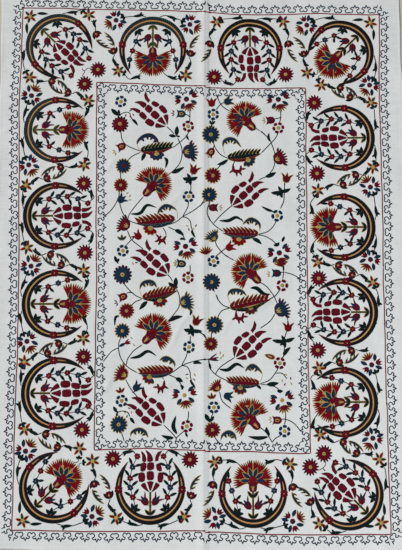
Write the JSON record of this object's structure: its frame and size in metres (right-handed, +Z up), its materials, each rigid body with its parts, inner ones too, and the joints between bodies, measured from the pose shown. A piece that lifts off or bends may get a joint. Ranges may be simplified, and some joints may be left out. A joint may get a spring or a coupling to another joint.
{
  "type": "suzani embroidered textile",
  "caption": "Large white cotton suzani laid flat, in joined panels, with a crescent border round a field of carnations, tulips and curling leaves.",
  "frame": {"origin": "middle of the cloth's underside, on the surface that it lies on", "axes": "+X across the cloth to the right, +Y along it towards the head, +Z up out of the worked face"},
  "size_m": [1.6164, 2.2152, 0.0022],
  "materials": {
    "cotton": "plain-woven white cotton, slubby and matt",
    "thread": "twisted embroidery thread in chain stitch, low sheen"
  },
  "bodies": {
    "root": {"panel_left": "cotton", "panel_right": "cotton"}
  },
  "joints": []
}
